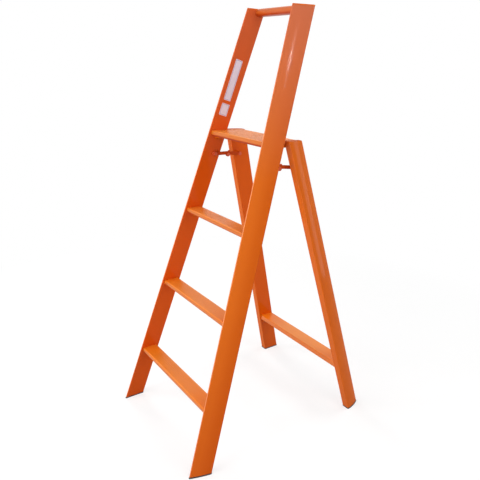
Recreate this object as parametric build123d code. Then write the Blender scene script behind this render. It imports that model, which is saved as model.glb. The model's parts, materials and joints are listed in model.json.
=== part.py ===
from build123d import *
import math
import os

# The whole ladder standing open, in millimetres and degrees. It faces -Y, and +Z is up.
rail_height = 1328.0  # floor to the top of the hand bar
platform_height = 960.0  # floor to the standing face of the platform
step_rise = 254.0  # one standing face to the next
foot_width = 457.0  # between the inner faces of the stiles at the floor
side_splay = 5.4  # lean of each side towards the middle, seen from the front
stile_lean = 16.6  # backward lean of the stiles, seen from the side
leg_lean = 16.2  # forward lean of the legs, seen from the side

# Stiles: flat inside, bowed outside, a thin front edge and a thick rear edge
stile_depth = 64.5
stile_front_edge = 4.0
stile_rear_edge = 23.5
stile_bow = 1.4  # rise of the outer face above its chord
stile_nose = 12.0  # solid metal behind the thin front edge
stile_web_at = 36.0
stile_front_round = 1.4
stile_rear_round = 3.0

# Legs: a flat thick front that faces the stile's rear edge when folded, thin at the rear
leg_depth = 61.0
leg_front_edge = 26.0
leg_rear_edge = 6.5
leg_bow = 3.85
leg_tail = 5.0  # solid metal in front of the thin rear edge
leg_web_at = 29.0
leg_front_round = 2.5
leg_rear_round = 2.0
tube_wall = 2.0

# Treads and platform: one family of fluted extrusions with a thin, rounded nose
step_setback = 5.5  # nose of a step behind the stile's front edge
tread_depth = 53.0
step_thickness = 20.0
step_nose = 13.0
tread_slope_run = 24.0  # the underside slopes from the nose to full thickness over this run
platform_slope_run = 15.0
step_nose_round = 6.0
step_edge_round = 2.0
step_wall = 2.0
tread_web_at = 32.0
flute_pitch = 5.0
flute_width = 1.6
flute_depth = 0.6
flute_margin = 9.0  # plain strip along both long edges

# Hinge between platform and legs
fold_gap = 15.8  # left between stile and leg when folded
hinge_setback = 18.6  # hinge axis behind the leg's front face
platform_overhang = 26.0  # platform behind the hinge axis
hinge_gap = 2.0  # side play between the platform ends and the legs
hinge_pin_radius = 5.0
hinge_pin_in_leg = 15.0
hinge_bush_wall = 1.5
hinge_bush_length = 24.0
hinge_flange_radius = 9.0
hinge_flange = 1.2
end_block_length = 28.0

# Hand bar
bar_setback = 30.0  # behind the stile's front edge at the top
bar_depth = 34.5
bar_height = 22.5
bar_wall = 2.0
bar_plug_length = 30.0
bar_bolt_radius = 3.0
bar_bolt_length = 18.0  # inside the plug
bar_bolt_head_radius = 5.0
bar_bolt_head = 4.0

# Rear brace
brace_height = 184.0  # floor to its top face
brace_setback = 8.5  # behind the legs' front faces
brace_depth = 52.5
brace_thickness = 19.0
brace_wall = 2.0
brace_edge_round = 2.0

# Caps and rubber feet
cap_thickness = 3.0
cap_plug = 16.0
stile_cap_round = 0.5
leg_cap_plug = 36.0
leg_cap_front_round = 4.0
leg_cap_rear_round = 13.0
foot_pad = 4.0
foot_lip = 0.6  # the pad stands proud of the extrusion by this
foot_plug = 22.0

# Brackets under the treads, platform and brace, with their rivets
bracket_thickness = 2.5
bracket_arm = 20.0
bracket_margin = 1.0  # behind the end of a step's slope
tread_bracket_width = 19.0
tread_bracket_drop = 15.0
platform_bracket_width = 17.0
platform_bracket_drop = 11.0
brace_bracket_width = 26.0
brace_bracket_drop = 18.0
rivet_radius = 2.0
rivet_head_radius = 3.2
rivet_head = 1.4
rivet_tail = 1.0
rivet_edge = 5.0  # rivet axis from the bracket's end

# Stays
stay_drop = 76.0  # front pivot below the standing face
stay_rear_drop = 5.0  # rear pivot below the front one
stay_front_in = 45.8  # front pivot behind the stile's front edge
stay_rear_in = 18.8  # rear pivot behind the leg's front face
stay_inset = 6.5  # front link's outer face from the stile's inner face
knuckle_drop = 4.5  # middle pivot below the front one
link_thickness = 2.5
link_width = 11.0
link_eye_radius = 7.0
knuckle_eye_radius = 7.5
stay_pin_radius = 3.0
stay_boss_radius = 7.0
stay_head_radius = 5.5
stay_head = 2.0
knuckle_pin_radius = 2.5
knuckle_washer = 0.9
stop_lug_start = 2.0  # from the knuckle's axis to the lug that stops the links in line
stop_lug_length = 5.0
stop_lug_height = 2.5

# Clearances
running_fit = 0.05  # radial, a pin turning in its hole
seat_fit = 0.03  # radial, a pin fixed in its hole
plug_fit = 0.2  # a plug inside a hollow section
side_play = 0.3  # between faces that slide past each other
open_pivot_gap = 0.5  # between a rear link and the boss that it ends at

splay = math.tan(math.radians(side_splay))
stile_slope = math.tan(math.radians(stile_lean))
leg_slope = math.tan(math.radians(leg_lean))


def level_run(depth, slope):
    """Level distance across a leaning member of this depth."""
    return depth * math.sqrt(1 + slope**2 / (1 + splay**2))


# The hinge is set out from the stile, the legs from the hinge, and the origin lies
# midway between the front edge of the stiles and the rear edge of the legs on the floor.
hinge_z = platform_height - step_thickness / 2
leg_front_from_stile = level_run(stile_depth + fold_gap, stile_slope) + hinge_z * stile_slope
footprint = leg_front_from_stile + hinge_z * leg_slope + level_run(leg_depth, leg_slope)
hinge_y = leg_front_from_stile + hinge_setback - footprint / 2


def inner(z):
    """Half the width between the stiles' inner faces at a height."""
    return foot_width / 2 - z * splay


def stile_front(z):
    return z * stile_slope - footprint / 2


def leg_front(z):
    return hinge_y - hinge_setback + (hinge_z - z) * leg_slope


stile_plane = Plane((inner(0), stile_front(0), 0), x_dir=(1, 0, splay), z_dir=(-splay, stile_slope, 1))
leg_plane = Plane(
    (inner(0) + hinge_gap, leg_front(0), 0), x_dir=(1, 0, splay), z_dir=(-splay, -leg_slope, 1)
)


def across(x=0.0, y=0.0, z=0.0):
    """A plane square to X, with its own x along +Y and its own y along +Z."""
    return Plane((x, y, z), x_dir=(0, 1, 0), z_dir=(1, 0, 0))


def rod(x_start, x_end, y, z, radius):
    """A round bar along X."""
    return extrude(across(x_start, y, z) * Circle(radius), amount=x_end - x_start)


def slab(bottom, top):
    """All space between two heights."""
    return Pos(0, 0, (bottom + top) / 2) * Box(4 * rail_height, 4 * rail_height, top - bottom)


def between_sides(gap=0.0):
    """All space between two slanting planes, this far outside the stiles' inner faces."""
    low = -step_rise
    high = rail_height + step_rise
    corners = [
        (inner(low) + gap, low),
        (inner(high) + gap, high),
        (-inner(high) - gap, high),
        (-inner(low) - gap, low),
    ]
    face = make_face(Polyline(*corners, close=True))
    return extrude(Plane.XZ * face, amount=2 * rail_height, both=True)


class Wing:
    """A hollow section with a flat inner face on x = 0 and a bowed outer face; y runs to the rear."""

    def __init__(self, front, rear, depth, bow, rooms, rounds):
        self.front = front
        self.rear = rear
        self.depth = depth
        self.rooms = rooms
        self.rounds = rounds
        half_chord = math.hypot(rear - front, depth) / 2
        self.radius = (half_chord**2 + bow**2) / (2 * bow)
        outward = Vector(depth, front - rear).normalized()
        self.centre = Vector((front + rear) / 2, depth / 2) - outward * (self.radius - bow)

    def outer(self, y, inset=0.0):
        """The outer face's x at a depth, or that of a face parallel to it inside."""
        return self.centre.X + math.sqrt((self.radius - inset) ** 2 - (y - self.centre.Y) ** 2)

    def patch(self, start, end, left, inset):
        """The section from one depth to another, set in from both faces."""
        middle = (start + end) / 2
        edge = [
            Polyline(
                (self.outer(start, inset), start), (left, start), (left, end), (self.outer(end, inset), end)
            ),
            ThreePointArc(
                (self.outer(end, inset), end),
                (self.outer(middle, inset), middle),
                (self.outer(start, inset), start),
            ),
        ]
        return make_face(edge)

    def outline(self):
        face = self.patch(0, self.depth, 0, 0)
        front_round, rear_round = self.rounds
        face = fillet(face.vertices().group_by(Axis.Y)[0], front_round)
        return fillet(face.vertices().group_by(Axis.Y)[-1].sort_by(Axis.X)[-1:], rear_round)

    def cavity(self, shrink=0.0, rooms=None):
        """The section's hollow rooms, or plugs that fit them."""
        inset = tube_wall + shrink
        faces = [self.patch(a + shrink, b - shrink, inset, inset) for a, b in rooms or self.rooms]
        return Sketch() + faces


stile_rooms = [
    (stile_nose, stile_web_at - tube_wall / 2),
    (stile_web_at + tube_wall / 2, stile_depth - tube_wall),
]
leg_rooms = [
    (tube_wall, leg_web_at - tube_wall / 2),
    (leg_web_at + tube_wall / 2, leg_depth - leg_tail),
]
stile_wing = Wing(
    stile_front_edge,
    stile_rear_edge,
    stile_depth,
    stile_bow,
    stile_rooms,
    (stile_front_round, stile_rear_round),
)
leg_wing = Wing(
    leg_front_edge,
    leg_rear_edge,
    leg_depth,
    leg_bow,
    leg_rooms,
    (leg_front_round, leg_rear_round),
)


def run(plane, face):
    """A section carried along its member, past both ends."""
    return extrude(plane * face, amount=2 * rail_height, both=True)


def leg_side(lower):
    """All space below the legs' rounded top line, lowered by this much, seen from the side."""
    top = platform_height - lower
    margin = 1.0
    back = level_run(leg_depth, leg_slope) + margin
    base = -step_rise
    corners = [
        (leg_front(base) - margin, base),
        (leg_front(base) + back, base),
        (leg_front(top) + back, top),
        (leg_front(top) - margin, top),
    ]
    face = make_face(Polyline(*corners, close=True))
    top_corners = face.vertices().group_by(Axis.Y)[-1].sort_by(Axis.X)
    face = fillet(top_corners[:1], leg_cap_front_round - lower)
    top_corners = face.vertices().group_by(Axis.Y)[-1].sort_by(Axis.X)
    face = fillet(top_corners[-1:], leg_cap_rear_round - lower)
    return extrude(across() * face, amount=rail_height, both=True)


def foot(plane, wing):
    """Rubber pad under an extrusion, with plugs that reach up into its rooms."""
    pad = run(plane, offset(wing.outline(), amount=foot_lip)) & slab(0, foot_pad)
    plug = run(plane, wing.cavity(plug_fit)) & slab(foot_pad, foot_pad + foot_plug)
    return pad + plug


def step_profile(depth, slope_run, rake, webs):
    """Section of a step, x to the rear and y up, with its top on y = 0."""
    corners = [
        (0, 0),
        (0, -step_nose),
        (slope_run, -step_thickness),
        (depth - rake, -step_thickness),
        (depth, 0),
    ]
    sharp = make_face(Polyline(*corners, close=True))
    plain = fillet(sharp.vertices().group_by(Axis.X)[0], step_nose_round)
    hollow = offset(plain, amount=-step_wall, kind=Kind.INTERSECTION)
    for web_at in webs:
        hollow -= Pos(web_at, 0) * Rectangle(step_wall, 3 * step_thickness)
    flutes = int((depth - 2 * flute_margin) // flute_pitch) + 1
    flute = Rectangle(flute_width, 2 * flute_depth)
    top = Pos(depth / 2, 0) * GridLocations(flute_pitch, 1, flutes, 1)
    behind_nose = plain.vertices().filter_by_position(Axis.X, 2 * step_nose_round, 2 * depth)
    return fillet(behind_nose, step_edge_round) - hollow - [place * flute for place in top]


def step(profile, y, z, gap=0.0):
    """A section laid level from side to side, cut to the slant of the sides."""
    return extrude(across(0, y, z) * profile, amount=foot_width, both=True) & between_sides(gap)


class Bracket:
    """The right-hand angle under a step's end: one leaf on the side, one under the step."""

    def __init__(self, underside, gap, y, width, drop):
        wall_x = inner(underside) + gap
        sheet = bracket_thickness

        def side_x(z):
            return inner(z) + gap

        corners = [
            (wall_x, underside),
            (wall_x - bracket_arm, underside),
            (wall_x - bracket_arm, underside - sheet),
            (side_x(underside - sheet) - sheet, underside - sheet),
            (side_x(underside - drop) - sheet, underside - drop),
            (side_x(underside - drop), underside - drop),
        ]
        front_plane = Plane((0, y, 0), x_dir=(1, 0, 0), z_dir=(0, -1, 0))
        angle = extrude(front_plane * make_face(Polyline(*corners, close=True)), amount=-width)
        height = underside - (sheet + drop) / 2
        self.side_planes = [
            Plane((side_x(height) - sheet, place, height), x_dir=(0, 1, 0), z_dir=(-1, 0, -splay))
            for place in (y + rivet_edge, y + width - rivet_edge)
        ]
        self.top_plane = Plane(
            (wall_x - bracket_arm + rivet_edge, y + width / 2, underside - sheet), z_dir=(0, 0, -1)
        )
        self.planes = self.side_planes + [self.top_plane]
        self.solid = angle - [plane * rivet_hole() for plane in self.planes]

    def rivets(self):
        return [plane * rivet() for plane in self.planes]


def rivet_shank(radius):
    length = bracket_thickness + tube_wall + rivet_tail
    return Pos(0, 0, -length / 2) * Cylinder(radius, length)


def rivet():
    """A rivet through a bracket and a wall, with its head on the bracket."""
    head = Pos(0, 0, rivet_head / 2) * Cone(rivet_head_radius, rivet_head_radius - rivet_head, rivet_head)
    return rivet_shank(rivet_radius) + head


def rivet_hole():
    return rivet_shank(rivet_radius + running_fit)


def both_sides(solids):
    """Right-hand solids and their mirror images."""
    return list(solids) + [mirror(solid, about=Plane.YZ) for solid in solids]


nodes = {}


def add_pair(name, solid):
    """A right-hand piece and its left-hand twin."""
    nodes[f"{name}_right"] = solid
    nodes[f"{name}_left"] = mirror(solid, about=Plane.YZ)


# Treads, platform and brace, each with a bracket under both ends
tread_names = ["lower_tread", "middle_tread", "upper_tread"]
tread_tops = [platform_height - step_rise * (len(tread_names) - i) for i in range(len(tread_names))]
bracket_start = step_setback + bracket_margin
tread_profile = step_profile(tread_depth, tread_slope_run, step_thickness * stile_slope, [tread_web_at])
stile_brackets = []
tread_rivets = []
for name, top in zip(tread_names, tread_tops):
    bracket = Bracket(
        top - step_thickness,
        0,
        stile_front(top) + bracket_start + tread_slope_run,
        tread_bracket_width,
        tread_bracket_drop,
    )
    stile_brackets.append(bracket)
    tread_rivets += bracket.rivets()
    tread = step(tread_profile, stile_front(top) + step_setback, top)
    nodes[name] = tread - both_sides([bracket.top_plane * rivet_hole()])
    add_pair(f"{name}_bracket", bracket.solid)
nodes["tread_rivets"] = Part() + both_sides(tread_rivets)

platform_front = stile_front(platform_height) + step_setback
platform_depth = hinge_y + platform_overhang - platform_front
block_half = platform_overhang - step_wall
platform_web_at = platform_depth - platform_overhang - block_half - step_wall / 2
platform_bracket = Bracket(
    platform_height - step_thickness,
    0,
    stile_front(platform_height) + bracket_start + platform_slope_run,
    platform_bracket_width,
    platform_bracket_drop,
)
stile_brackets.append(platform_bracket)
platform_profile = step_profile(platform_depth, platform_slope_run, 0, [platform_web_at])
platform = step(platform_profile, platform_front, platform_height)
nodes["platform"] = platform - both_sides([platform_bracket.top_plane * rivet_hole()])
add_pair("platform_bracket", platform_bracket.solid)
nodes["platform_rivets"] = Part() + both_sides(platform_bracket.rivets())

brace_front = leg_front(brace_height) + brace_setback
brace_outline = RectangleRounded(brace_depth, brace_thickness, brace_edge_round)
brace_hollow = Rectangle(brace_depth - 2 * brace_wall, brace_thickness - 2 * brace_wall)
brace_bracket = Bracket(
    brace_height - brace_thickness,
    hinge_gap,
    brace_front + (brace_depth - brace_bracket_width) / 2,
    brace_bracket_width,
    brace_bracket_drop,
)
brace = step(
    Pos(brace_depth / 2, -brace_thickness / 2) * (brace_outline - brace_hollow),
    brace_front,
    brace_height,
    hinge_gap,
)
nodes["rear_brace"] = brace - both_sides([brace_bracket.top_plane * rivet_hole()])
add_pair("brace_bracket", brace_bracket.solid)
nodes["brace_rivets"] = Part() + both_sides(brace_bracket.rivets())

# Hand bar, with a plug in each end that a bolt inside the stile holds
bar_z = rail_height - bar_height / 2
bar_y = stile_front(rail_height) + bar_setback + bar_depth / 2
bar_room = SlotOverall(bar_depth - 2 * bar_wall, bar_height - 2 * bar_wall)
nodes["hand_bar"] = step(SlotOverall(bar_depth, bar_height) - bar_room, bar_y, bar_z)
bar_end = inner(bar_z)
bolt_hole = rod(
    bar_end - bar_bolt_length, bar_end + stile_rear_edge, bar_y, bar_z, bar_bolt_radius + seat_fit
)
plug_section = SlotOverall(
    bar_depth - 2 * (bar_wall + plug_fit), bar_height - 2 * (bar_wall + plug_fit)
)
plug = extrude(across(bar_end - bar_plug_length, bar_y, bar_z) * plug_section, amount=2 * bar_plug_length)
add_pair("bar_plug", (plug & between_sides()) - bolt_hole)
bolt_seat = inner(bar_z - bar_bolt_head_radius) + tube_wall + side_play
bolt_head = rod(bolt_seat, bolt_seat + bar_bolt_head, bar_y, bar_z, bar_bolt_head_radius)
bolt = rod(bar_end - bar_bolt_length, bolt_seat, bar_y, bar_z, bar_bolt_radius) + bolt_head
nodes["bar_bolts"] = Part() + both_sides([bolt])

# Stiles, their top caps and feet
stile_holes = [plane * rivet_hole() for bracket in stile_brackets for plane in bracket.side_planes]
stile = run(stile_plane, stile_wing.outline() - stile_wing.cavity())
stile = stile & slab(foot_pad, rail_height - cap_thickness)
bolt_passage = rod(bar_end - tube_wall, bolt_seat, bar_y, bar_z, bar_bolt_radius + running_fit)
add_pair("stile", stile - stile_holes - bolt_passage)
cap = run(stile_plane, stile_wing.outline()) & slab(rail_height - cap_thickness, rail_height)
cap = chamfer(cap.faces().sort_by(Axis.Z)[-1].edges(), stile_cap_round)
cap_prong = run(stile_plane, stile_wing.cavity(plug_fit, stile_rooms[:1]))
cap_prong = cap_prong & slab(rail_height - cap_thickness - cap_plug, rail_height - cap_thickness)
add_pair("stile_cap", cap + cap_prong)
add_pair("stile_foot", foot(stile_plane, stile_wing))

# Hinge: blocks in the platform's ends hold the bushes, and pins fixed in the leg caps turn in them
hinge_x = inner(hinge_z)
bush_radius = hinge_pin_radius + running_fit + hinge_bush_wall
block_height = step_thickness - 2 * step_wall - 2 * plug_fit
block = Pos(0, hinge_y, hinge_z) * Box(2 * hinge_x, 2 * (block_half - plug_fit), block_height)
block = block & between_sides() & Pos(hinge_x, 0, 0) * Box(
    2 * end_block_length, 4 * rail_height, 4 * rail_height
)
bush_start = hinge_x - hinge_bush_length
past_leg = hinge_x + hinge_gap + leg_front_edge
block_bore = rod(bush_start, past_leg, hinge_y, hinge_z, bush_radius + seat_fit)
add_pair("platform_end_block", block - block_bore)
pin_bore = rod(bush_start, past_leg, hinge_y, hinge_z, hinge_pin_radius + running_fit)
sleeve = rod(bush_start, past_leg, hinge_y, hinge_z, bush_radius) & between_sides()
flange = rod(bush_start, past_leg, hinge_y, hinge_z, hinge_flange_radius)
flange = flange & (between_sides(hinge_flange) - between_sides())
add_pair("hinge_bush", sleeve + flange - pin_bore)
pin_end = hinge_x + hinge_gap + hinge_pin_in_leg
add_pair("hinge_pin", rod(bush_start + side_play, pin_end, hinge_y, hinge_z, hinge_pin_radius))

# Legs, their rounded top caps and feet
leg_holes = [plane * rivet_hole() for plane in brace_bracket.side_planes]
pin_seat = rod(bush_start, pin_end + side_play, hinge_y, hinge_z, hinge_pin_radius + seat_fit)
leg = run(leg_plane, leg_wing.outline() - leg_wing.cavity()) & leg_side(cap_thickness)
leg = leg & slab(foot_pad, platform_height)
add_pair("leg", leg - leg_holes - pin_seat)
leg_cap = run(leg_plane, leg_wing.outline()) & (leg_side(0) - leg_side(cap_thickness))
leg_cap = leg_cap & slab(hinge_z, platform_height)
leg_plug = run(leg_plane, leg_wing.cavity(plug_fit)) & leg_side(cap_thickness)
leg_plug = leg_plug & slab(platform_height - leg_cap_plug, platform_height)
add_pair("leg_cap", leg_cap + leg_plug - pin_seat)
add_pair("leg_foot", foot(leg_plane, leg_wing))

# Stays: two links each, in line when the ladder is open, that fold upwards at the knuckle
stay_z = platform_height - stay_drop
stay_front = (stile_front(stay_z) + stay_front_in, stay_z)
stay_rear = (leg_front(stay_z) + stay_rear_in, stay_z - stay_rear_drop)
knuckle = ((stay_front[0] + stay_rear[0]) / 2, stay_z - knuckle_drop)
front_link_x = inner(stay_z) - stay_inset - link_thickness
rear_link_x = front_link_x - side_play - link_thickness


def link(eye, eye_hole, knuckle_hole):
    """A strap from an end pivot to the knuckle, whose eye hangs below the strap's end."""
    middle = ((eye[0] + knuckle[0]) / 2, (eye[1] + stay_z) / 2)
    strap = SlotCenterPoint(middle, eye, link_width)
    shape = strap + Pos(*eye) * Circle(link_eye_radius) + Pos(*knuckle) * Circle(knuckle_eye_radius)
    return shape - Pos(*eye) * Circle(eye_hole) - Pos(*knuckle) * Circle(knuckle_hole)


front_shape = link(stay_front, stay_pin_radius + running_fit, knuckle_pin_radius + seat_fit)
lug_base = stay_z + link_width / 2 + side_play
lug_middle = knuckle[0] + stop_lug_start + stop_lug_length / 2
tongue_height = stop_lug_height + side_play + link_width / 2
tongue = Pos(lug_middle, stay_z + tongue_height / 2) * Rectangle(stop_lug_length, tongue_height)
lug = Pos(lug_middle, lug_base + stop_lug_height / 2) * Rectangle(stop_lug_length, stop_lug_height)
front_link = extrude(across(front_link_x) * (front_shape + tongue), amount=link_thickness)
front_link += extrude(across(rear_link_x) * lug, amount=front_link_x - rear_link_x)
add_pair("stay_front_link", front_link)
rear_shape = link(stay_rear, stay_pin_radius + seat_fit, knuckle_pin_radius + running_fit)
add_pair("stay_rear_link", extrude(across(rear_link_x) * rear_shape, amount=link_thickness))

front_link_outer = front_link_x + link_thickness
stud = rod(front_link_outer + side_play, inner(0), *stay_front, stay_boss_radius) & between_sides()
stud += rod(front_link_x - side_play, front_link_outer + side_play, *stay_front, stay_pin_radius)
stud += rod(front_link_x - side_play - stay_head, front_link_x - side_play, *stay_front, stay_head_radius)
add_pair("stay_stud", stud)

rear_link_outer = rear_link_x + link_thickness
boss = rod(rear_link_outer + open_pivot_gap, inner(0), *stay_rear, stay_boss_radius)
add_pair("stay_boss", boss & between_sides(hinge_gap))
end_rivet = rod(rear_link_x - stay_head, rear_link_x, *stay_rear, stay_head_radius)
end_rivet += rod(rear_link_x, rear_link_outer, *stay_rear, stay_pin_radius)
add_pair("stay_end_rivet", end_rivet)

knuckle_rivet = rod(front_link_outer, front_link_outer + knuckle_washer, *knuckle, stay_head_radius)
knuckle_rivet += rod(rear_link_x - side_play, front_link_outer, *knuckle, knuckle_pin_radius)
knuckle_rivet += rod(rear_link_x - side_play - stay_head, rear_link_x - side_play, *knuckle, stay_head_radius)
add_pair("stay_knuckle_rivet", knuckle_rivet)

os.makedirs("parts", exist_ok=True)
for name, solid in nodes.items():
    export_step(solid, f"parts/{name}.step")
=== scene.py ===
import json
import math

import bmesh
import bpy
from mathutils import Matrix, Vector


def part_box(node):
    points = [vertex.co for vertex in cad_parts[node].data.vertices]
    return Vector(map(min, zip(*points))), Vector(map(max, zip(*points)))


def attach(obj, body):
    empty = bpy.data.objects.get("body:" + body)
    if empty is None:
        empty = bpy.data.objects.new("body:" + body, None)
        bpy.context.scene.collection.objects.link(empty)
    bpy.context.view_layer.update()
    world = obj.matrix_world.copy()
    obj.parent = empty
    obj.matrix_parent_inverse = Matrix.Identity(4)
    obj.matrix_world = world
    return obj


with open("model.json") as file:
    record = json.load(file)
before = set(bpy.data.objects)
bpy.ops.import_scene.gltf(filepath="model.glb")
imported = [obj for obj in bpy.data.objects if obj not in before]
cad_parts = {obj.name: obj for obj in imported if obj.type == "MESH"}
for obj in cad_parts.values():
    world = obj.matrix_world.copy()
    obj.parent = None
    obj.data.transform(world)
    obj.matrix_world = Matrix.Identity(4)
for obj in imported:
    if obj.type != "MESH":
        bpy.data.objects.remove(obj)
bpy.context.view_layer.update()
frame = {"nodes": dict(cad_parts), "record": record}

# Lean of the members, in degrees, as the model has them
side_splay = 5.4
stile_lean = 16.6
leg_lean = 16.2

# Directions
across = Vector((1, 0, 0))
ahead = Vector((0, -1, 0))
upright = Vector((0, 0, 1))

# Camera, solved from the photograph's edges: metres, degrees and millimetres of lens
camera_place = (1.2897, -0.9621, 1.1663)
camera_yaw = 54.189
camera_pitch = -18.854
camera_roll = 1.997
camera_lens = 38.71

# Colours of the coat, linear; between a pair of tones it drifts from place to place
coat_tones = ((0.63, 0.108, 0.0015), (0.67, 0.124, 0.002))
# Painted shade: the stiles' back faces; faces turned ahead take a lighter front colour
stile_shaded_tones = ((0.575, 0.084, 0.0005), (0.61, 0.094, 0.001))
# Shaded and lit copies of one coat: darker on the steps and hand bar, lighter on the rear brace
level_shaded_tones = ((0.52, 0.116, 0.002), (0.56, 0.130, 0.003))
bar_shaded_tones = ((0.48, 0.092, 0.012), (0.53, 0.106, 0.016))
brace_lit_tones = ((0.66, 0.138, 0.002), (0.70, 0.152, 0.003))
# Painted light: the colour of stile faces turned ahead
stile_lit_front = (0.77, 0.170, 0.014)
# Painted highlight: the paler, pinker colour of the stiles' thin front edge
stile_edge_highlight = (0.78, 0.285, 0.125)
# Painted bounce light: inner faces of the stiles, redder and brighter
stile_inner_bounce = (0.78, 0.101, 0.008)
# Painted light: the colour of leg faces turned ahead
leg_lit_front = (0.68, 0.138, 0.018)
# Painted bounce light: inner faces of the legs, redder
leg_inner_bounce = (0.71, 0.094, 0.002)
# Painted sheen: the upper stiles turn paler and pinker, a reflection of bright surroundings
painted_sheen_tone = (0.59, 0.146, 0.065)
# Painted shade: the coat darkens towards the floor
floor_shade_tone = (0.50, 0.050, 0.0005)
coat_pale = (0.84, 0.27, 0.05)
# Painted shade and reflection: tops lose their sheen and take the stiles' orange towards their ends
ends_painted_tone = (0.83, 0.200, 0.008)
# Painted shade on the undersides of level pieces
painted_shade_under = (0.42, 0.040, 0.001)
# Painted sheen and light on the tops of the level pieces, paler on the higher steps
painted_sheen_tops = {
    "lower_tread": (0.83, 0.238, 0.030),
    "middle_tread": (0.87, 0.264, 0.038),
    "upper_tread": (0.93, 0.295, 0.055),
    "platform": (0.91, 0.315, 0.060),
    "rear_brace": (0.85, 0.264, 0.036),
    "hand_bar": (0.66, 0.165, 0.040),
}

# Colours of everything else, linear
rubber_black = (0.022, 0.018, 0.017)
rubber_dusty = (0.06, 0.052, 0.05)
stay_brown = (0.52, 0.062, 0.008)
stay_worn = (0.60, 0.11, 0.03)
rivet_red = (0.60, 0.10, 0.04)
# Painted highlight: the paler, pinkish tone on the stay pins' heads
rivet_highlight = (0.66, 0.16, 0.09)
bare_metal = (0.74, 0.74, 0.75)
dull_metal = (0.52, 0.52, 0.53)
steel_grey = (0.48, 0.48, 0.49)
steel_dark = (0.30, 0.30, 0.31)
nylon_white = (0.78, 0.76, 0.70)
nylon_yellowed = (0.70, 0.66, 0.55)
film_white = (0.80, 0.72, 0.80)
film_grey = (0.72, 0.62, 0.72)
film_border = (0.30, 0.24, 0.42)
floor_pale = (0.55, 0.55, 0.55)
floor_white = (1.0, 1.0, 1.0)

# Patches, widths and depths of the coat, in metres
drift_patch = 0.11
speck_patch = 0.0007
tread_patch = 0.06
wear_patch = 0.018
wear_width = 0.0012
gloss_patch = 0.035
peel_patch = 0.0016
peel_depth = 0.00005
line_patch = 0.0011
line_depth = 0.00004

# Where painted light changes, in metres: painted sheen up a stile, painted shade towards the floor, and on
# tops a painted sheen in the middle giving way to painted shade and reflection at the ends
painted_sheen_heights = (0.85, 1.34)
floor_shade_heights = (0.0, 0.5)
ends_painted_reach = (0.09, 0.17)

# Brings the product of two noises back to the middle of their range
gloss_lift = 0.25

# How far a face turns ahead, as a cosine, while the colour changes to the painted light of the front or
# the painted highlight of its thin edge
stile_turn = (0.20, 0.38)
edge_turn = (0.50, 0.85)
leg_turn = (0.30, 0.80)


class Shader:
    """A material under construction, with short calls for its nodes."""

    def __init__(self, name):
        self.material = bpy.data.materials.new(name)
        self.material.use_nodes = True
        self.tree = self.material.node_tree
        self.surface = self.tree.nodes["Principled BSDF"]
        self.place = self.node("TexCoord").outputs["Object"]
        self.facing = self.node("NewGeometry").outputs["Normal"]

    def node(self, kind, sockets=None, **settings):
        made = self.tree.nodes.new("ShaderNode" + kind)
        for name, value in settings.items():
            setattr(made, name, value)
        for name, value in (sockets or {}).items():
            self.put(made.inputs[name], value)
        return made

    def put(self, socket, value):
        if isinstance(value, bpy.types.NodeSocket):
            self.tree.links.new(value, socket)
        else:
            socket.default_value = value

    def finish(self, **sockets):
        """Sets the surface's own sockets; underscores stand for spaces."""
        for name, value in sockets.items():
            words = name.replace("_", " ").title().replace("Ior", "IOR")
            self.put(self.surface.inputs[words], value)

    def combine(self, operation, *values):
        """A product, sum or the like of these numbers."""
        return self.node("Math", dict(enumerate(values)), operation=operation).outputs["Value"]

    def noise(self, size, detail=2.0, place=None):
        """Noise from 0 to 1 with patches about this many metres across."""
        sockets = {"Vector": place or self.place, "Scale": 1 / size, "Detail": detail}
        return self.node("TexNoise", sockets).outputs["Fac"]

    def span(self, value, low, high, start=0.3, end=0.7):
        """A number that goes from low to high as a value goes from start to end."""
        sockets = {"Value": value, "From Min": start, "From Max": end, "To Min": low, "To Max": high}
        return self.node("MapRange", sockets).outputs["Result"]

    def blend(self, factor, one, two):
        """A colour between two colours; 6, 7 and 2 are the Mix node's own colour sockets."""
        first, second = [c if isinstance(c, bpy.types.NodeSocket) else (*c, 1) for c in (one, two)]
        mix = self.node("Mix", {0: factor, 6: first, 7: second}, data_type="RGBA")
        return mix.outputs[2]

    def bump(self, height, depth, strength, under=None):
        """A normal for a height field that is this many metres deep."""
        sockets = {"Height": height, "Distance": depth, "Strength": strength}
        if under:
            sockets["Normal"] = under
        return self.node("Bump", sockets).outputs["Normal"]

    def dot(self, one, two):
        """How far one direction or place goes along another."""
        return self.node("VectorMath", {0: one, 1: two}, operation="DOT_PRODUCT").outputs["Value"]

    def edges(self, width):
        """1 along sharp edges and 0 on open faces."""
        rounded = self.node("Bevel", {"Radius": width}, samples=4).outputs["Normal"]
        return self.span(self.dot(rounded, self.facing), low=1.0, high=0.0, start=0.82, end=0.995)

    def grain(self, along, stretch=0.004):
        """Coordinates squeezed along a member, on which noise runs in lines along it."""
        along = along.normalized()
        side = along.orthogonal().normalized()
        axes = {"X": along * stretch, "Y": side, "Z": along.cross(side)}
        parts = {name: self.dot(self.place, axis) for name, axis in axes.items()}
        return self.node("CombineXYZ", parts).outputs["Vector"]


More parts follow.
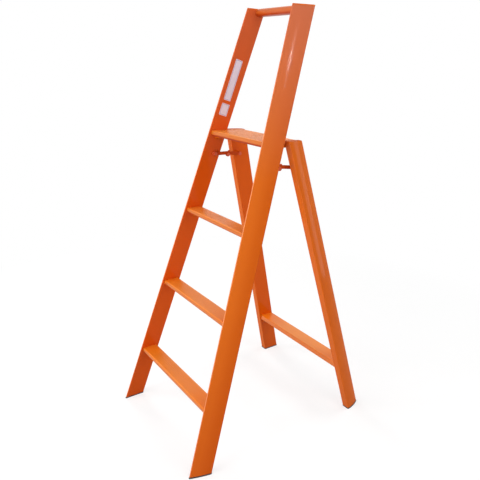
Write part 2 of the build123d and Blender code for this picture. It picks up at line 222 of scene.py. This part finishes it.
def member_colour(shader, colour, inward, inner, front, front_turn, floor_shade, edge=None, painted_sheen=False):
    """A stile or leg: painted light on faces turned ahead, painted bounce light on inner faces, painted
    shade near the floor, perhaps a painted sheen high up.
    """
    forward = shader.dot(shader.facing, ahead)
    height = shader.dot(shader.place, upright)
    # Painted light: faces turned ahead blend to a lighter, yellower front colour
    colour = shader.blend(shader.span(forward, 0.0, 0.9, *front_turn), colour, front)
    # Painted highlight along the stiles' thin front edge
    if edge:
        colour = shader.blend(shader.span(forward, 0.0, 0.9, *edge_turn), colour, edge)
    # Painted bounce light: inner faces take a redder orange
    inside = shader.span(shader.dot(shader.facing, inward), low=0.0, high=0.7, start=0.2, end=0.8)
    colour = shader.blend(inside, colour, inner)
    # Painted sheen high up, weaker on inner faces
    if painted_sheen:
        sheen_outside = shader.span(inside, low=1.0, high=0.5, start=0.0, end=0.7)
        sheen_mask = shader.combine("MULTIPLY", shader.span(height, 0.0, 1.0, *painted_sheen_heights), sheen_outside)
        colour = shader.blend(sheen_mask, colour, painted_sheen_tone)
    # Painted shade: darker towards the floor
    return shader.blend(shader.span(height, floor_shade, 0.0, *floor_shade_heights), colour, floor_shade_tone)


def level_colour(shader, colour, upward, top):
    """A level piece: painted shade below, and on top a painted sheen in the middle that gives way to
    painted shade and reflection towards the ends.
    """
    # Painted shade on faces turned down
    below = shader.span(upward, low=0.9, high=0.0, start=-0.6, end=-0.1)
    colour = shader.blend(below, colour, painted_shade_under)
    # Painted shade and reflection towards the ends of the tops
    from_middle = shader.combine("ABSOLUTE", shader.dot(shader.place, across))
    top = shader.blend(shader.span(from_middle, 0.0, 1.0, *ends_painted_reach), top, ends_painted_tone)
    # Painted sheen and light on faces turned up
    above = shader.span(upward, low=0.0, high=1.0, start=0.6, end=0.9)
    patches = shader.span(shader.noise(tread_patch, detail=4.0), low=0.80, high=1.0)
    return shader.blend(shader.combine("MULTIPLY", above, patches), colour, top)


def coat(name, tones, along=None, faces=None, top=None, gloss_level=0.0, lacquer=0.14, haze=0.07):
    """Satin orange powder coat: orange peel, slow drift of colour, paler edges that are partly wear and
    partly a painted highlight, and faint die lines.
    """
    shader = Shader(name)
    drift = shader.span(shader.noise(drift_patch, detail=3.0), low=0.0, high=1.0)
    colour = shader.blend(drift, *tones)
    if faces:
        colour = member_colour(shader, colour, **faces)
    specks = shader.span(shader.noise(speck_patch, detail=1.0), low=0.0, high=0.10, start=0.5, end=0.8)
    colour = shader.blend(specks, colour, coat_pale)
    if top:
        upward = shader.dot(shader.facing, upright)
        colour = level_colour(shader, colour, upward, top)
    # Paler edges: partly wear, partly a painted highlight along every sharp edge
    rubbed = shader.span(shader.noise(wear_patch, detail=4.0), low=0.10, high=0.55)
    wear_and_highlight = shader.combine("MULTIPLY", shader.edges(wear_width), rubbed)
    colour = shader.blend(wear_and_highlight, colour, coat_pale)
    relief = shader.bump(shader.noise(peel_patch), peel_depth, strength=0.35)
    gloss = shader.noise(gloss_patch, detail=4.0)
    if along:
        lines = shader.noise(line_patch, place=shader.grain(along))
        relief = shader.bump(lines, line_depth, strength=0.22, under=relief)
        gloss = shader.combine("MULTIPLY_ADD", gloss, lines, gloss_lift)
    roughness = shader.span(gloss, low=0.30, high=0.42)
    if top:
        dust = shader.span(upward, low=0.6, high=0.0, start=-0.7, end=-0.1)
        roughness = shader.combine("ADD", roughness, dust)
    shader.finish(base_color=colour, roughness=roughness, normal=relief)
    shader.finish(specular_ior_level=gloss_level, coat_weight=lacquer, coat_roughness=haze)
    return shader.material


def rubber():
    """Moulded black rubber with a fine grain and a little dust."""
    shader = Shader("moulded_rubber")
    dust = shader.span(shader.noise(size=0.006, detail=5.0), low=0.0, high=0.6, start=0.45, end=0.75)
    grain = shader.bump(shader.noise(size=0.0006, detail=3.0), depth=0.00006, strength=0.5)
    roughness = shader.span(shader.noise(size=0.004, detail=3.0), low=0.62, high=0.82)
    colour = shader.blend(dust, rubber_black, rubber_dusty)
    shader.finish(base_color=colour, roughness=roughness, normal=grain)
    return shader.material


def stay_paint(name, clean, worn, gloss_level):
    """Painted steel, rubbed a little at its edges."""
    shader = Shader(name)
    patches = shader.span(shader.noise(size=0.012, detail=3.0), low=0.0, high=0.25)
    rubbed = shader.span(shader.noise(size=0.005, detail=4.0), low=0.2, high=0.9)
    rub = shader.combine("MULTIPLY", shader.edges(width=0.0007), rubbed)
    colour = shader.blend(rub, shader.blend(patches, clean, worn), worn)
    peel = shader.bump(shader.noise(size=0.0009), depth=0.00004, strength=0.4)
    roughness = shader.span(shader.noise(size=0.008, detail=3.0), low=0.32, high=0.48)
    shader.finish(base_color=colour, roughness=roughness, normal=peel, specular_ior_level=gloss_level)
    return shader.material


def metal(name, bright, dark, smooth, rough):
    """Bare metal with fine marks and a duller film in patches."""
    shader = Shader(name)
    dull = shader.span(shader.noise(size=0.004, detail=4.0), low=0.0, high=1.0)
    marks = shader.bump(shader.noise(size=0.0004, detail=3.0), depth=0.00002, strength=0.4)
    roughness = shader.span(dull, smooth, rough, start=0.0, end=1.0)
    colour = shader.blend(dull, bright, dark)
    shader.finish(base_color=colour, roughness=roughness, normal=marks, metallic=1.0)
    return shader.material


def nylon():
    """Moulded nylon, a little yellowed in patches."""
    shader = Shader("moulded_nylon")
    yellow = shader.span(shader.noise(size=0.006, detail=3.0), low=0.0, high=1.0)
    grain = shader.bump(shader.noise(size=0.0005), depth=0.00003, strength=0.4)
    roughness = shader.span(yellow, low=0.42, high=0.55, start=0.0, end=1.0)
    colour = shader.blend(yellow, nylon_white, nylon_yellowed)
    shader.finish(base_color=colour, roughness=roughness, normal=grain)
    return shader.material


def film(name, clear, worn):
    """Thin plain film, slightly uneven where it follows the coat below."""
    shader = Shader(name)
    tone = shader.span(shader.noise(size=0.009, detail=4.0), low=0.0, high=0.7)
    uneven = shader.bump(shader.noise(peel_patch), depth=0.00004, strength=0.3)
    roughness = shader.span(shader.noise(size=0.02, detail=3.0), low=0.30, high=0.45)
    colour = shader.blend(tone, clear, worn)
    shader.finish(base_color=colour, roughness=roughness, normal=uneven)
    return shader.material


def member_axis(lean, side):
    """Direction up a stile or leg; side is 1 on the right and -1 on the left."""
    sideways = -side * math.tan(math.radians(side_splay))
    return Vector((sideways, math.tan(math.radians(lean)), 1)).normalized()


# Finishes of the coated members, by node
stile_faces = {
    "inner": stile_inner_bounce,
    "front": stile_lit_front,
    "front_turn": stile_turn,
    "edge": stile_edge_highlight,
    "painted_sheen": True,
    "floor_shade": 0.36,
}
leg_faces = {"inner": leg_inner_bounce, "front": leg_lit_front, "front_turn": leg_turn, "floor_shade": 0.10}
members = {
    "stile": {"tones": stile_shaded_tones, "lean": stile_lean, "faces": stile_faces, "lacquer": 0.14},
    "leg": {"tones": coat_tones, "lean": -leg_lean, "faces": leg_faces, "lacquer": 0.20},
}
step_shine = {"gloss_level": 0.6, "lacquer": 0.0}
bar_shine = {"lacquer": 0.9, "haze": 0.35}


def member_coat(node, side, tones, lean, faces, lacquer):
    """The coat of one stile or leg; side is 1 on the right and -1 on the left."""
    faces = {"inward": -side * across, **faces}
    return coat("coat_" + node, tones, member_axis(lean, side), faces, lacquer=lacquer)


coats = {}
for member, look in members.items():
    coats[member + "_right"] = member_coat(member + "_right", 1, **look)
    coats[member + "_left"] = member_coat(member + "_left", -1, **look)
for node, top in painted_sheen_tops.items():
    tones = {"hand_bar": bar_shaded_tones, "rear_brace": brace_lit_tones}.get(node, level_shaded_tones)
    shine = bar_shine if node == "hand_bar" else step_shine
    coats[node] = coat("coat_" + node, tones, across, top=top, **shine)
small_coat = coat("coat_small_pieces", coat_tones)

# Finishes of the other slots, and of the pins that hold the stays
slot_materials = {
    "rubber": rubber(),
    "stay_steel": stay_paint("stay_paint", stay_brown, stay_worn, gloss_level=0.05),
    "rivet_metal": metal("rivet_aluminium", bare_metal, dull_metal, smooth=0.28, rough=0.5),
    "pin_steel": metal("turned_steel", steel_grey, steel_dark, smooth=0.22, rough=0.4),
    "nylon": nylon(),
}
stay_pins = ("stay_stud", "stay_knuckle_rivet", "stay_end_rivet")
# Painted highlight: the stay pins' heads turn paler and pinker in patches and at their edges
stay_pin_paint = stay_paint("stay_rivet_paint", rivet_red, rivet_highlight, gloss_level=0.3)
for subpart in frame["record"]["subparts"]:
    node = subpart["node"]
    material = slot_materials.get(subpart["material_slot"])
    if node.startswith(stay_pins):
        material = stay_pin_paint
    if material is None:
        material = coats.get(node, small_coat)
    slots = frame["nodes"][node].data.materials
    slots.clear()
    slots.append(material)

# Two plain films on the left stile's inner face: metres up the stile and behind its front edge
film_thickness = 0.00015
film_edge = 0.0016  # width of the rim, and of the border line inside it
film_corner = 0.002
films = {
    "long_film": {"start": 1.1126, "length": 0.129, "back": 0.0152, "width": 0.0265},
    "short_film": {"start": 1.0635, "length": 0.038, "back": 0.0147, "width": 0.030},
}
film_materials = (film("plain_film", film_white, film_grey), film("film_border", film_border, film_grey))
stile_low, stile_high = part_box("stile_left")
stile_axis = member_axis(stile_lean, -1)
face_normal = Vector((1, 0, -math.tan(math.radians(side_splay)))).normalized()
face_back = stile_axis.cross(face_normal)


def stile_point(length, back):
    """A point on the left stile's inner face, this far up its front edge and this far behind it."""
    floor_x = stile_high.x - stile_high.z * math.tan(math.radians(side_splay))
    floor_y = stile_low.y - stile_low.z * math.tan(math.radians(stile_lean))
    return Vector((floor_x, floor_y, 0)) + stile_axis * length + face_back * back


def rounded_loop(half_width, half_length, corner, steps=5):
    """Points round a rectangle with rounded corners, in order."""
    loop = []
    for turn, (x, y) in enumerate(((1, 1), (-1, 1), (-1, -1), (1, -1))):
        centre = Vector((x * (half_width - corner), y * (half_length - corner)))
        for step in range(steps + 1):
            angle = math.radians(90 * (turn + step / steps))
            loop.append(centre + corner * Vector((math.cos(angle), math.sin(angle))))
    return loop


def plain_film(name, start, length, back, width):
    """A thin rounded film with a border line, stuck to the stile's inner face."""
    middle = stile_point(start + length / 2, back + width / 2)
    mesh = bmesh.new()
    rings = []
    foot = (0, 0)
    rim = (0, film_thickness)
    border_outside = (film_edge, film_thickness)
    border_inside = (2 * film_edge, film_thickness)
    for inset, lift in (foot, rim, border_outside, border_inside):
        base = middle + face_normal * lift
        loop = rounded_loop(width / 2 - inset, length / 2 - inset, film_corner)
        rings.append([mesh.verts.new(base + face_back * point.x + stile_axis * point.y) for point in loop])
    for outer, inner in zip(rings[:-1], rings[1:]):
        for i in range(len(outer)):
            j = (i + 1) % len(outer)
            quad = mesh.faces.new((outer[i], outer[j], inner[j], inner[i]))
            quad.material_index = 1 if inner is rings[-1] else 0
    mesh.faces.new(rings[-1])
    mesh.faces.new(rings[0][::-1])
    bmesh.ops.recalc_face_normals(mesh, faces=mesh.faces)
    data = bpy.data.meshes.new(name)
    mesh.to_mesh(data)
    mesh.free()
    for material in film_materials:
        data.materials.append(material)
    piece = bpy.data.objects.new(name, data)
    bpy.context.scene.collection.objects.link(piece)
    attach(piece, "front_frame")


for film_name, film_place in films.items():
    plain_film(film_name, **film_place)

# Floor and world
floor_size = 40.0
shadow_share = 0.35  # of the floor's brightness that the lamps make close to the ladder
shadow_reach = (0.6, 1.8)  # metres from the origin over which that share fades out
world_level = 0.012


def seen_directly(tree):
    """1 for rays that the camera, a reflection or a clear surface sends, else 0."""
    path = tree.nodes.new("ShaderNodeLightPath")
    total = path.outputs["Is Camera Ray"]
    for name in ("Is Glossy Ray", "Is Transmission Ray"):
        join = tree.nodes.new("ShaderNodeMath")
        join.operation = "MAXIMUM"
        tree.links.new(total, join.inputs[0])
        tree.links.new(path.outputs[name], join.inputs[1])
        total = join.outputs["Value"]
    return total


def make_floor():
    """A pale floor that keeps the shadow, and that the camera sees as nearly white."""
    shader = Shader("pale_floor")
    seen = seen_directly(shader.tree)
    colour = shader.blend(seen, floor_pale, floor_white)
    shader.finish(base_color=colour, roughness=0.9, specular_ior_level=0.0)
    glow = shader.node("Emission", {"Color": (*floor_white, 1), "Strength": 1.0})
    distance = shader.node("VectorMath", {0: shader.place}, operation="LENGTH").outputs["Value"]
    share = shader.combine("MULTIPLY", seen, shader.span(distance, 1 - shadow_share, 1.0, *shadow_reach))
    mix = shader.node("MixShader", {0: share, 1: shader.surface.outputs[0], 2: glow.outputs[0]})
    shader.tree.links.new(mix.outputs[0], shader.tree.nodes["Material Output"].inputs["Surface"])
    half = floor_size / 2
    data = bpy.data.meshes.new("floor")
    corners = [(-half, -half, 0), (half, -half, 0), (half, half, 0), (-half, half, 0)]
    data.from_pydata(corners, [], [(0, 1, 2, 3)])
    data.materials.append(shader.material)
    floor = bpy.data.objects.new("floor", data)
    bpy.context.scene.collection.objects.link(floor)


def make_world():
    """Even light all round, which the camera and reflections see as white."""
    world = bpy.data.worlds.new("studio")
    world.use_nodes = True
    tree = world.node_tree
    strength = tree.nodes.new("ShaderNodeMapRange")
    tree.links.new(seen_directly(tree), strength.inputs["Value"])
    strength.inputs["To Min"].default_value = world_level
    strength.inputs["To Max"].default_value = 1.0
    background = tree.nodes["Background"]
    background.inputs["Color"].default_value = (1, 1, 1, 1)
    tree.links.new(strength.outputs["Result"], background.inputs["Strength"])
    bpy.context.scene.world = world


make_floor()
make_world()

# Soft lamps round the ladder, which nothing mirrors: place in metres and power in watts
lamp_target = (0, 0, 0.7)
soft_size = (1.4, 1.4)
soft_lamps = {
    "front": ((0, -3, 1.5), 38),
    "front_left_high": ((-1.6, -2.6, 2.4), 27),
    "front_left_low": ((-1.8, -2.4, 0.7), 22),
    "front_right": ((1.6, -2.6, 0.7), 19),
    "left": ((-3, 0, 1.5), 54),
    "right": ((3, 0, 1.5), 10),
    "right_front": ((2.6, -1.4, 1.4), 9),
    "right_rear": ((2.6, 1.4, 1.8), 17),
    "rear_right": ((1.4, 2.6, 1.8), 7),
    "top_front": ((0, -1.7, 3.1), 17),
    "top_rear": ((0, 1.7, 3.1), 28),
    "top_right": ((1.8, 0, 3.1), 13),
}

# Small lamps that the lacquer mirrors, as streaks on the right stile and leg: metres and watts
stile_aim = {
    "place": (2.469, 0.336, 2.012),
    "target": (0.129, 0.026, 1.187),
    "tall": (-0.256, 0.247, 0.93),
}
leg_aim = {"place": (1.13, 2.29, 0.57), "target": (0.186, 0.112, 0.702)}
streak_lamps = {
    "stile_streak": {"size": (0.05, 0.43), "power": 0.9, **stile_aim},
    "stile_glint": {"size": (0.04, 0.12), "power": 5.0, **stile_aim},
    "leg_streak": {"size": (0.6, 1.1), "power": 5.0, **leg_aim},
}


def lamp(name, place, target, size, power, tall=upright, mirrored=False):
    """An area lamp that the camera doesn't see, with its height as near to tall as its aim allows."""
    light = bpy.data.lights.new(name, "AREA")
    light.shape = "RECTANGLE"
    light.size, light.size_y = size
    light.energy = power
    holder = bpy.data.objects.new(name, light)
    back = (Vector(place) - Vector(target)).normalized()
    side = Vector(tall).cross(back).normalized()
    turn = Matrix((side, back.cross(side), back)).transposed().to_4x4()
    holder.matrix_world = Matrix.Translation(place) @ turn
    holder.visible_camera = False
    holder.visible_glossy = mirrored
    bpy.context.scene.collection.objects.link(holder)


for lamp_name, (lamp_place, lamp_power) in soft_lamps.items():
    lamp(lamp_name, lamp_place, lamp_target, soft_size, lamp_power)
for lamp_name, lamp_values in streak_lamps.items():
    lamp(lamp_name, mirrored=True, **lamp_values)


def make_camera():
    """The photograph's camera: looking along its yaw and pitch, rolled about that line."""
    yaw, pitch, roll = [math.radians(angle) for angle in (camera_yaw, camera_pitch, camera_roll)]
    line = Vector((-math.sin(yaw) * math.cos(pitch), math.cos(yaw) * math.cos(pitch), math.sin(pitch)))
    right = Vector((math.cos(yaw), math.sin(yaw), 0))
    up = right.cross(line)
    rightward = right * math.cos(roll) + up * math.sin(roll)
    above = up * math.cos(roll) - right * math.sin(roll)
    lens = bpy.data.cameras.new("camera")
    lens.lens = camera_lens
    camera = bpy.data.objects.new("camera", lens)
    turn = Matrix((rightward, above, -line)).transposed().to_4x4()
    camera.matrix_world = Matrix.Translation(camera_place) @ turn
    bpy.context.scene.collection.objects.link(camera)
    bpy.context.scene.camera = camera


make_camera()
bpy.context.scene.view_settings.view_transform = "Standard"
